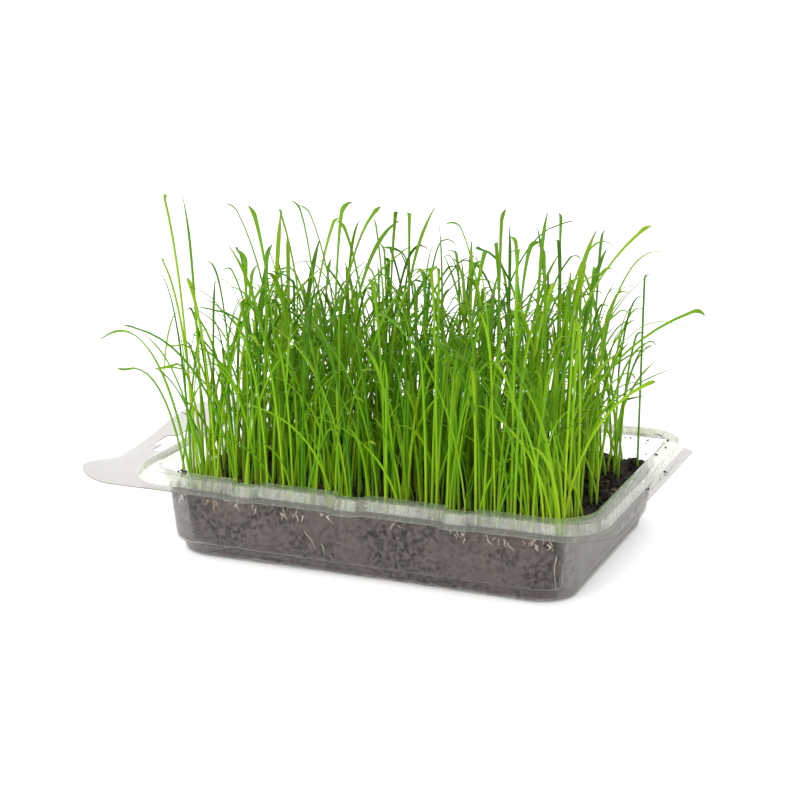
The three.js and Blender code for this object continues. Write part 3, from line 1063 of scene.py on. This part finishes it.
blade = {
    "sides": 8,
    "rings": 20,
    "sunk": 3.0,
    "stem": 0.46,
    "stemThick": 0.44,
    "leaf": 0.62,
    "leafThick": 0.14,
    "fold": 0.34,
    "widen": (0.42, 0.82),
    "blunt": (0.8, 1.0),
    "bluntness": 0.93,
    "broad": (0.72, 0.96),
    "slim": (0.72, 1.15),
    "twistMost": 0.8,
    "crowding": 0.92,
    "pastBox": 1.5,
    # past this height or this far from the middle, a leaf stands out
    "highFrom": 100,
    "farFrom": 95,
    "hooked": {"rings": 6, "from": 0.95, "share": 0.36, "standing": 1.6, "swing": 1.2,
               "turn": (0.5, 2.2), "length": (4.0, 7.5)},
}
second = {
    "share": 0.62,
    "from": (0.3, 0.6),
    "reach": (6, 30),
    "climb": (8, 34),
    "highest": 104,
    "arch": 0.75,
    "width": 0.24,
    "wider": 0.34,
    "thick": 0.12,
    "fold": 0.3,
    "deeper": 0.15,
}
filler = {
    "pitch": 5.6,
    "closer": 0.9,
    "stray": 3,
    "rows": range(-12, 13),
    "columns": range(-15, 16),
    "area": (77.0, 56.5, 11.0),
    "thinned": 0.7,
    "low": 27,
    "range": 52,
    "spread": (4, 36),
    "outward": 0.08,
    # how far out the tips may hang at the left, the right and the long sides
    "tipLimits": (-84, 86, 83),
    "archShare": 0.35,
    "archMost": 0.35,
    "tests": 12,
}


def buildTube():
    deselectAll()
    bpy.ops.mesh.primitive_circle_add(vertices=blade["sides"], radius=1, fill_type="NGON")
    tube = bpy.context.object
    tube.name = "bladeTube"
    openMesh(tube, "FACE")
    selectWhole()
    for _ in range(blade["rings"] - 1):
        bpy.ops.mesh.extrude_region_move(TRANSFORM_OT_translate={"value": (0, 0, 1)})
    faceOutwards()
    closeMesh()
    coords = tube.data.uv_layers.new(name="bladeMap")
    for face in tube.data.polygons:
        for loop in face.loop_indices:
            x, y, z = tube.data.vertices[tube.data.loops[loop].vertex_index].co
            coords.data[loop].uv = ((x + 1) / 2, z / (blade["rings"] - 1))
    tube.data.color_attributes.new("tint", "FLOAT_COLOR", "POINT")
    bpy.ops.object.shade_smooth()
    return tube


tube = buildTube()
tubeAt = np.array([vertex.co for vertex in tube.data.vertices])
tubeRing = np.rint(tubeAt[:, 2]).astype(int)


def curveOf(line, ts):
    points = np.array(line, dtype=float)
    t = np.asarray(ts)[:, None]
    u = 1 - t
    return u ** 3 * points[0] + 3 * u * u * t * points[1] + 3 * u * t * t * points[2] + t ** 3 * points[3]


def spineOf(line, hook):
    rings = blade["rings"]
    if not hook:
        return curveOf(line, np.linspace(0, 1, rings) ** blade["crowding"])
    turns = blade["hooked"]["rings"]
    straight = blade["hooked"]["from"] * np.linspace(0, 1, rings - turns) ** blade["crowding"]
    spine = curveOf(line, straight)
    ahead = spine[-1] - spine[-2]
    ahead /= np.linalg.norm(ahead)
    aside = np.array([hook["lean"][0], hook["lean"][1], 0.0])
    aside -= ahead * aside.dot(ahead)
    aside /= np.linalg.norm(aside)
    step = hook["length"] / turns
    points = [spine[-1]]
    for i in range(turns):
        angle = hook["turn"] * (i + 0.5) / turns
        points.append(points[-1] + step * (ahead * math.cos(angle) + aside * math.sin(angle)))
    return np.vstack([spine, points[1:]])


def layBlade(name, spine, twist, widths, thicks, folds, tint, facing=None):
    ahead = np.gradient(spine, axis=0)
    ahead /= np.linalg.norm(ahead, axis=1)[:, None]
    lean = spine[-1] - spine[0] if facing is None else np.array(facing)
    aside = np.array([-lean[1], lean[0], 0.0]) + (1e-6, 0, 0)
    sides = aside - ahead * (ahead @ aside)[:, None]
    sides /= np.linalg.norm(sides, axis=1)[:, None]
    backs = np.cross(ahead, sides)
    turn = (twist * np.linspace(0, 1, len(spine)))[:, None]
    sides, backs = sides * np.cos(turn) + backs * np.sin(turn), backs * np.cos(turn) - sides * np.sin(turn)
    ring = tubeRing
    x, y = tubeAt[:, 0], tubeAt[:, 1]
    out = (x * widths[ring])[:, None] * sides[ring]
    up = (y * thicks[ring] + folds[ring] * np.abs(x) * widths[ring])[:, None] * backs[ring]
    piece = newCopy(tube, name)
    piece.data.vertices.foreach_set("co", ((spine[ring] + out + up) * mm).ravel())
    colours = np.tile(np.array([*tint, 1.0]), (len(tubeAt), 1))
    piece.data.color_attributes["tint"].data.foreach_set("color", colours.ravel())
    return piece


def bladeSizes(width, slim):
    t = np.linspace(0, 1, blade["rings"])
    leafy = ramp(t, *blade["widen"])
    stem = blade["stem"] * slim
    widths = stem + (width - stem) * leafy
    narrowed = ramp(t, *blade["blunt"]) * blade["bluntness"]
    blunt = np.sqrt(np.clip(1 - narrowed, 0, 1))
    thicks = blade["stemThick"] * slim * (1 - leafy) + blade["leafThick"] * leafy
    return widths * blunt, thicks * (0.35 + 0.65 * blunt), blade["fold"] * leafy


def joinAll(pieces, name):
    deselectAll()
    for piece in pieces:
        piece.select_set(True)
    bpy.context.view_layer.objects.active = pieces[0]
    if len(pieces) > 1:
        bpy.ops.object.join()
    joined = bpy.context.object
    joined.name = name
    return joined


def insideBox(spine):
    low, high = [np.array(corner) / mm for corner in (cadLow, cadHigh)]
    past = blade["pastBox"]
    return np.all(spine.min(0) > low - past) and np.all(spine.max(0) < high + past)


def tintOf(draws, deepness, x):
    # The blades towards both ends of the tray are painted lighter and yellower: painted light, for the more
    # light that reaches them there
    edge = abs(x) / tray["halfLength"]
    tone = min(max(draws.between(-0.2, 0.95) + deepness - 0.45 * edge * edge, 0), 1)
    yellow = max(draws.between(-0.8, 0.7) + 0.5 * edge * edge, 0)
    return (tone, yellow, 1.0 if draws.next() < 0.3 else 0.15)


def dressShoot(line, twist, draws):
    root, tip = line[0], line[3]
    # The leaves that stand out are broad and often hooked
    standsOut = tip[2] > blade["highFrom"] or abs(tip[0]) > blade["farFrom"]
    hooked, hook = blade["hooked"], None
    if draws.next() < hooked["share"] * (hooked["standing"] if standsOut else 1):
        swing = draws.between(-hooked["swing"], hooked["swing"])
        angle = math.atan2(tip[1] - root[1], tip[0] - root[0]) + swing
        hook = {
            "turn": draws.between(*hooked["turn"]),
            "length": draws.between(*hooked["length"]),
            "lean": (math.cos(angle), math.sin(angle)),
        }
    spine = spineOf(line, hook)
    if not insideBox(spine):
        spine = spineOf(line, None)
    spine[0, 2] -= blade["sunk"]
    width = blade["leaf"] * (0.6 + 0.8 * draws.next() ** 1.5)
    if standsOut:
        width = max(width, draws.between(*blade["broad"]))
    sizes = bladeSizes(width, draws.between(*blade["slim"]))
    deepness = 0.2 * (tip[2] > 95) + 0.1 * draws.next()
    return layBlade("shoot", spine, twist, *sizes, tintOf(draws, deepness, root[0]))


def secondLeaf(line, draws):
    root = np.array(pointOn(line, draws.between(*second["from"])))
    angle = draws.between(0, 2 * math.pi)
    reach = draws.between(*second["reach"])
    climb = draws.between(*second["climb"])
    tip = root + (math.cos(angle) * reach, math.sin(angle) * reach, climb)
    tip[2] = min(tip[2], second["highest"])
    t = np.linspace(0, 1, blade["rings"])
    spine = curveOf(lineOf(tuple(root), tuple(tip), draws.next() * second["arch"]), t)
    if not insideBox(spine):
        return None
    taper = np.sqrt(np.clip(1 - ramp(t, 0.5, 1) * 0.95, 0, 1))
    wider = draws.between(0.0, second["wider"]) * ramp(t, 0, 0.35)
    widths = (second["width"] + wider) * taper
    twist = draws.between(-blade["twistMost"], blade["twistMost"])
    thicks, folds = [np.full_like(t, second[size]) for size in ("thick", "fold")]
    tint = tintOf(draws, second["deeper"], root[0])
    return layBlade("secondLeaf", spine, twist, widths, thicks, folds, tint)


def inRoundedArea(x, y, halfX, halfY, radius):
    cornerX, cornerY = abs(x) - halfX + radius, abs(y) - halfY + radius
    return cornerX <= 0 or cornerY <= 0 or math.hypot(cornerX, cornerY) <= radius


def fillerRoots(draws):
    pitch, stray = filler["pitch"], filler["stray"]
    halfX, halfY, radius = filler["area"]
    roots = []
    for row in filler["rows"]:
        for column in filler["columns"]:
            x = (column + 0.5 * (row % 2)) * pitch + draws.between(-stray, stray)
            y = row * pitch * filler["closer"] + draws.between(-stray, stray)
            inside = abs(x) <= halfX and abs(y) <= halfY and inRoundedArea(x, y, halfX, halfY, radius)
            if not inside:
                continue
            sparse = x > growth["sparseFrom"][0] and y > growth["sparseFrom"][1]
            if sparse and draws.next() < filler["thinned"]:
                continue
            roots.append((x, y))
    return roots


def fillerLine(x, y, draws):
    height = filler["low"] + filler["range"] * draws.next() ** 1.2
    spread = draws.between(*filler["spread"])
    angle = draws.between(0, 2 * math.pi)
    z = soilTop(x, y)
    lean = spread * math.cos(angle) + filler["outward"] * x
    across = spread * math.sin(angle) + filler["outward"] * y
    # Leaves that would hang far out over the rim lean inwards instead
    left, right, side = filler["tipLimits"]
    if not left < x + lean < right:
        lean = -lean
    if abs(y + across) > side:
        across = -across
    tip = (x + lean, y + across, z + height)
    arches = draws.next() < filler["archShare"]
    line = lineOf((x, y, z), tip, draws.between(0, filler["archMost"]) if arches else 0)
    tests = filler["tests"]
    return None if any(hitsRim(pointOn(line, step / tests)) for step in range(1, tests)) else line


def growGrass():
    draws = Draws(7717)
    own = [[] for _ in places]
    for bunch, place in zip(own, places):
        for line, twist in place["blades"]:
            bunch.append(dressShoot(line, twist, draws))
            if draws.next() < second["share"]:
                bunch.append(secondLeaf(line, draws))
    for x, y in fillerRoots(draws):
        line = fillerLine(x, y, draws)
        if line is None:
            continue
        nearest = min(range(len(places)), key=lambda i: math.hypot(places[i]["x"] - x, places[i]["y"] - y))
        twist = draws.between(-blade["twistMost"], blade["twistMost"])
        own[nearest].append(dressShoot(line, twist, draws))
    for index, bunch in enumerate(own):
        bunch = [piece for piece in bunch if piece]
        tuft = joinAll(bunch, f"shoots_{index + 1:02d}")
        dress(tuft, bladeFinish)
        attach(tuft, "root")
        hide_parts(f"tuft_{index + 1:02d}")


growGrass()
print("grass grown")


# Seeds, rootlets and crumbs

litter = {
    "area": (78.5, 58.0, 12.0),
    "turn": 6.3,
    "seeds": 120,
    "seedHalf": (3.0, 1.35, 1.2),
    "seedSizes": (0.8, 1.1),
    "seedRise": (-1.1, -0.1),
    "seedTilt": 0.8,
    # how many, their sizes, how far small ones prevail, height over the soil, and the same per size
    "crumbs": (2600, (0.35, 1.5), 2.5, -0.2, 0.3),
    "lumps": (210, (1.2, 3.4), 2, 0, 0.2),
    "lumpArea": ((44.0, 76.0), (-2.0, 55.0)),
    # specks that cling to the film: how many, and the box that they lie in
    "specks": [
        (46, (80.0, 80.9), (4, 50), (23, 28.5)),
        (30, (46, 76), (59.6, 60.2), (24, 31)),
        (9, (91.5, 94), (-10, 30), (30.0, 30.3)),
        (8, (85, 89), (20, 56), (34.6, 34.8)),
        (20, (-70, -66), (-62.5, -61.3), (34.6, 35.2)),
        (10, (-74, -66), (-60.4, -59.8), (26, 31)),
    ],
    "speckSizes": (0.15, 0.35),
    # where fine roots show at the front wall, and how many there
    "rootlets": [(-70, 3), (-57, 8), (-48, 5), (-40, 3), (-28, 5), (-23, 4), (-12, 4), (16, 2), (39, 6),
                 (51, 3), (55, 4), (65, 5), (69, 5), (73, 4)],
    "redRoots": -57,
    "rootSpread": 2.2,
    "rootTop": (22.5, 25.8),
    "rootLength": (1.0, 3.0),
    "rootThick": (0.07, 0.16),
    "behindFilm": 0.08,
    # long roots: x, z at the top, x, z at the bottom
    "longRoots": [(74.5, 20, 74, 8), (-20, 17, -16, 10), (-14, 13, -12.5, 9)],
}


def spreadOnSoil(draws):
    halfX, halfY, radius = litter["area"]
    while True:
        x, y = draws.between(-halfX, halfX), draws.between(-halfY, halfY)
        if inRoundedArea(x, y, halfX, halfY, radius):
            return x, y


def spreadOnBareSoil(draws):
    return [draws.between(*reach) for reach in litter["lumpArea"]]


def turnOf(draws, tilt=None):
    spin = draws.between(0, litter["turn"])
    return spin, draws.between(-tilt, tilt) if tilt else draws.between(0, litter["turn"])


def scatter(template, spots, name, finish):
    base = np.array([vertex.co for vertex in template.data.vertices])
    copies = []
    for centre, turn, sizes in spots:
        piece = newCopy(template, name)
        c, s = math.cos(turn[0]), math.sin(turn[0])
        spin = np.array([[c, -s, 0], [s, c, 0], [0, 0, 1]])
        c, s = math.cos(turn[1]), math.sin(turn[1])
        tilt = np.array([[1, 0, 0], [0, c, -s], [0, s, c]])
        moved = (base * sizes) @ tilt.T @ spin.T + centre
        piece.data.vertices.foreach_set("co", (moved * mm).ravel())
        copies.append(piece)
    joined = joinAll(copies, name)
    dress(joined, finish)
    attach(joined, "root")


def buildSeeds(draws):
    deselectAll()
    bpy.ops.mesh.primitive_uv_sphere_add(segments=10, ring_count=7, radius=1)
    grain = bpy.context.object
    openMesh(grain)
    bpy.ops.mesh.select_all(action="DESELECT")
    shape = bmesh.from_edit_mesh(grain.data)
    for vertex in shape.verts:
        vertex.select_set(vertex.co.y < -0.8 and abs(vertex.co.z) < 0.8)
    bmesh.update_edit_mesh(grain.data)
    bpy.ops.transform.translate(value=(0, 0.3, 0))
    closeMesh()
    bpy.ops.object.shade_smooth()
    spots = []
    for _ in range(litter["seeds"]):
        x, y = spreadOnSoil(draws)
        sizes = np.array(litter["seedHalf"]) * draws.between(*litter["seedSizes"])
        centre = (x, y, soilTop(x, y) + draws.between(*litter["seedRise"]))
        spots.append((centre, turnOf(draws, litter["seedTilt"]), sizes))
    scatter(grain, spots, "grains", seedFinish)
    drop(grain)


def crumbSpots(draws, kind, placeOf):
    count, (low, high), power, lift, rise = litter[kind]
    spots = []
    for _ in range(count):
        x, y = placeOf(draws)
        size = low + (high - low) * draws.next() ** power
        sizes = size * np.array([draws.between(0.8, 1.3), draws.between(0.7, 1.1), draws.between(0.6, 1)])
        spots.append(((x, y, soilTop(x, y) + lift + rise * size), turnOf(draws), sizes))
    return spots


def buildCrumbs(draws):
    deselectAll()
    bpy.ops.mesh.primitive_ico_sphere_add(subdivisions=1, radius=1)
    crumb = bpy.context.object
    openMesh(crumb)
    selectWhole()
    bpy.ops.transform.vertex_random(offset=0.35, seed=5)
    closeMesh()
    spots = crumbSpots(draws, "crumbs", spreadOnSoil) + crumbSpots(draws, "lumps", spreadOnBareSoil)
    spots += specksOnFilm(draws)
    scatter(crumb, spots, "soilCrumbs", crumbFinish)
    drop(crumb)


def specksOnFilm(draws):
    least, more = litter["speckSizes"]
    spots = []
    for count, *reaches in litter["specks"]:
        for _ in range(count):
            centre = [draws.between(*reach) for reach in reaches]
            size = least + more * draws.next() ** 2
            sizes = size * np.array([draws.between(0.8, 1.8), draws.between(0.8, 1.2), 1])
            spots.append((centre, turnOf(draws), sizes))
    return spots


def wallLineAt(zs):
    # The front wall's inner face, just inside which fine roots lie
    (footInset, ends, foot), (headInset, ends, head) = tray["rings"][9:11]
    out = (footInset - headInset) * (zs - foot) / (head - foot)
    return -(tray["halfWidth"] - footInset + out) + litter["behindFilm"]


def layRootlet(xs, zs, thick, tint):
    t = np.linspace(0, 1, blade["rings"])
    spine = np.stack([xs, wallLineAt(zs) + 0.03 * np.sin(5 * t + xs[0]), zs], 1)
    thin = thick * (1.1 - 0.7 * t)
    return layBlade("rootlet", spine, 0, thin, thin, t * 0, (tint, 0, 0), (0, 1, 0))


def buildRootlets(draws):
    t = np.linspace(0, 1, blade["rings"])
    copies = []
    for middle, count in litter["rootlets"]:
        for _ in range(count):
            x = middle + draws.between(-litter["rootSpread"], litter["rootSpread"])
            z = draws.between(*litter["rootTop"])
            length = draws.between(*litter["rootLength"])
            sway = draws.between(0.15, 0.5) * np.sin(draws.between(3, 8) * t + draws.between(0, 6.3))
            xs = x + draws.between(-0.8, 0.8) * length * t + sway
            red = 0.9 if middle == litter["redRoots"] else draws.next() ** 3
            copies.append(layRootlet(xs, z - length * t, draws.between(*litter["rootThick"]), red))
    for x, z, endX, endZ in litter["longRoots"]:
        sway = 0.4 * np.sin(draws.between(4, 7) * t + draws.between(0, 6.3))
        copies.append(layRootlet(x + (endX - x) * t + sway, z + (endZ - z) * t, 0.1, 0.2))
    joined = joinAll(copies, "rootlets")
    dress(joined, rootFinish)
    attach(joined, "root")


litterDraws = Draws(990)
buildSeeds(litterDraws)
buildCrumbs(litterDraws)
buildRootlets(litterDraws)
drop(tube)
print("seeds, crumbs and rootlets scattered")
